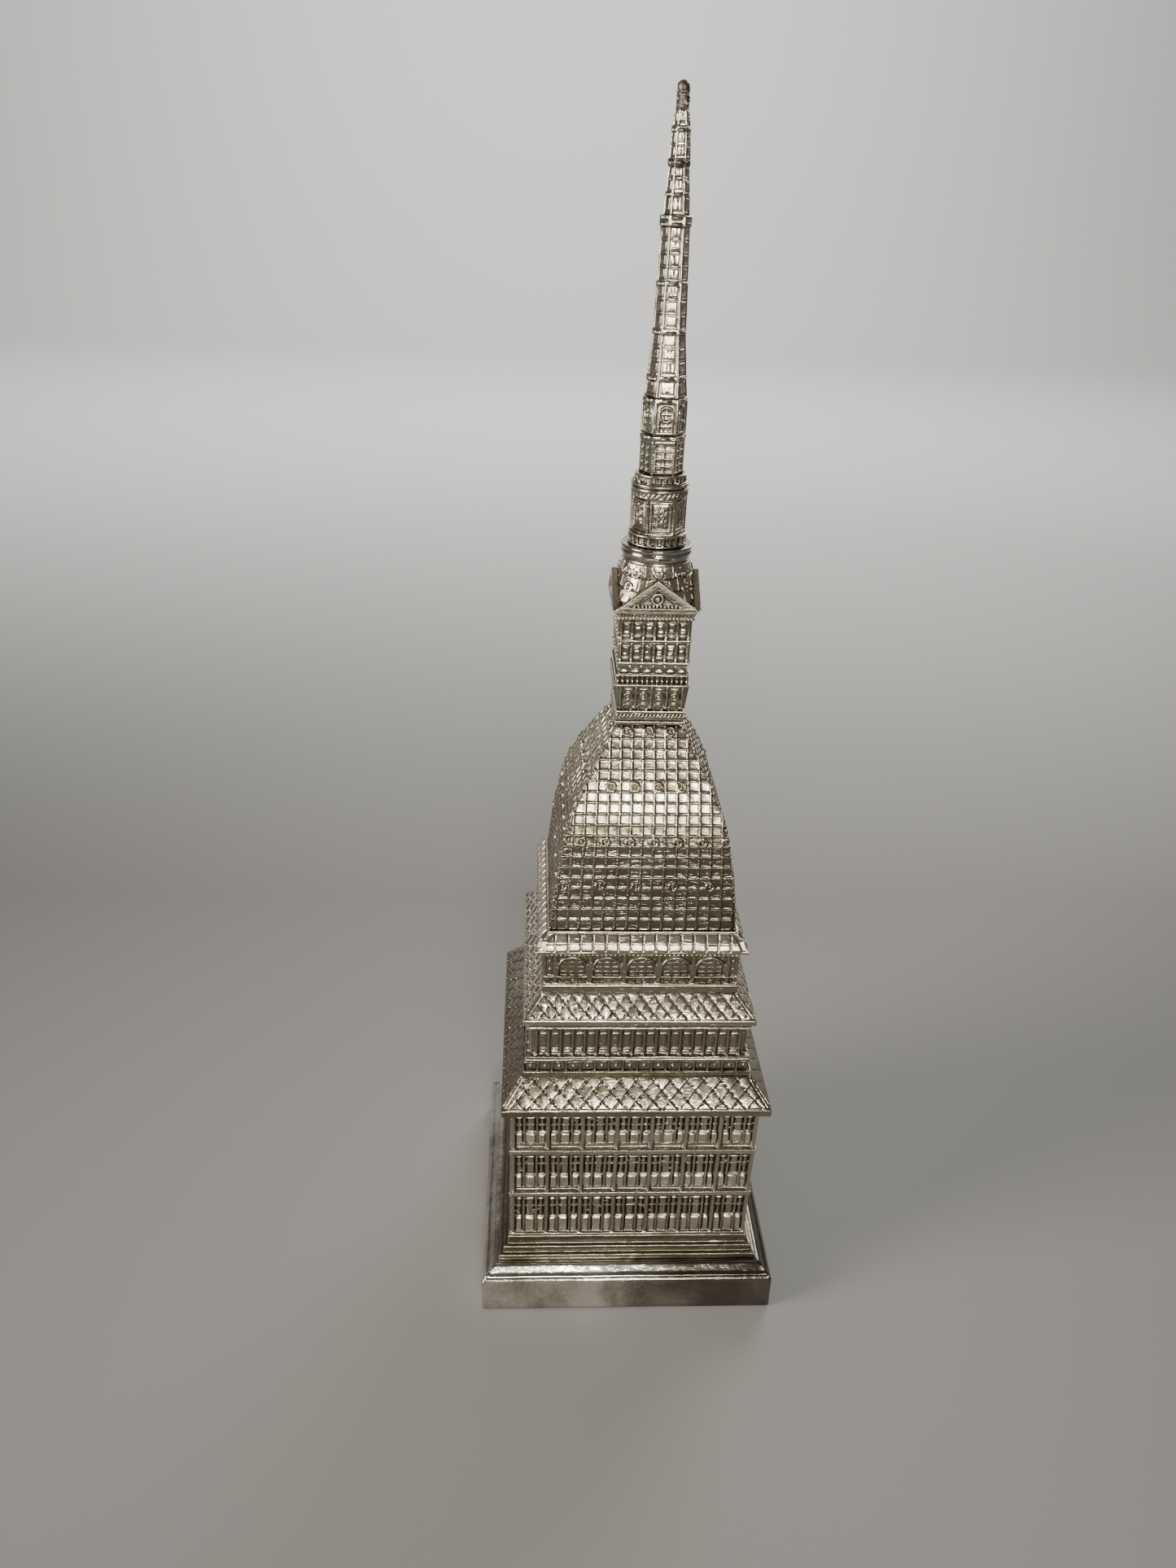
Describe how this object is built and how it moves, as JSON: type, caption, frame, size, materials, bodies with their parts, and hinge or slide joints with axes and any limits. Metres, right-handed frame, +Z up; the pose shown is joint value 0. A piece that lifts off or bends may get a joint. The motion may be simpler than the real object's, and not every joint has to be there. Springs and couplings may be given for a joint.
{
  "type": "miniature landmark model",
  "caption": "Cast white-metal tabletop model of a domed tower: tiered arcaded block, four-sided dome, gabled lantern and stepped spire on a chamfered plinth.",
  "frame": {"origin": "middle of the underside, on the surface that the model stands on", "axes": "+Z up the spire, -Y towards the front face, +X to the right of the front face"},
  "size_m": [0.0948, 0.0948, 0.35],
  "materials": {
    "cast_metal": "cast white metal, tarnished in the recesses",
    "tiled_metal": "cast white metal, finely scratched, bright raised edges",
    "polished_metal": "smooth rubbed white metal with smudges",
    "blackened_solder": "oxidised solder, semi-gloss",
    "steel": "plain zinc-plated steel",
    "felt": "dark felt"
  },
  "bodies": {
    "root": {"felt_pad": "felt", "bottom_plate": "steel", "bottom_plate_screws": "steel", "plinth": "polished_metal", "stepped_base": "polished_metal", "lower_wall_front": "cast_metal", "lower_wall_right": "cast_metal", "lower_wall_back": "cast_metal", "lower_wall_left": "cast_metal", "lower_roof": "tiled_metal", "middle_wall_front": "cast_metal", "middle_wall_right": "cast_metal", "middle_wall_back": "cast_metal", "middle_wall_left": "cast_metal", "middle_roof": "tiled_metal", "upper_wall_front": "cast_metal", "upper_wall_right": "cast_metal", "upper_wall_back": "cast_metal", "upper_wall_left": "cast_metal", "skirt_roof": "tiled_metal", "dome_panel_front": "tiled_metal", "dome_panel_right": "tiled_metal", "dome_panel_back": "tiled_metal", "dome_panel_left": "tiled_metal", "lantern_base": "cast_metal", "lantern_wall_front": "cast_metal", "lantern_wall_right": "cast_metal", "lantern_wall_back": "cast_metal", "lantern_wall_left": "cast_metal", "gable_roof": "cast_metal", "bell_roof": "tiled_metal", "gallery_disc": "polished_metal", "gallery_balustrade": "cast_metal", "panelled_drum": "cast_metal", "balcony_ring": "cast_metal", "belvedere_drum": "cast_metal", "arched_drum": "cast_metal", "spire_lower": "cast_metal", "spire_middle": "cast_metal", "solder_collar": "blackened_solder", "spire_top": "cast_metal", "spire_tip": "blackened_solder", "spire_rod": "steel", "rod_nut": "steel", "rod_washer": "steel"}
  },
  "joints": []
}
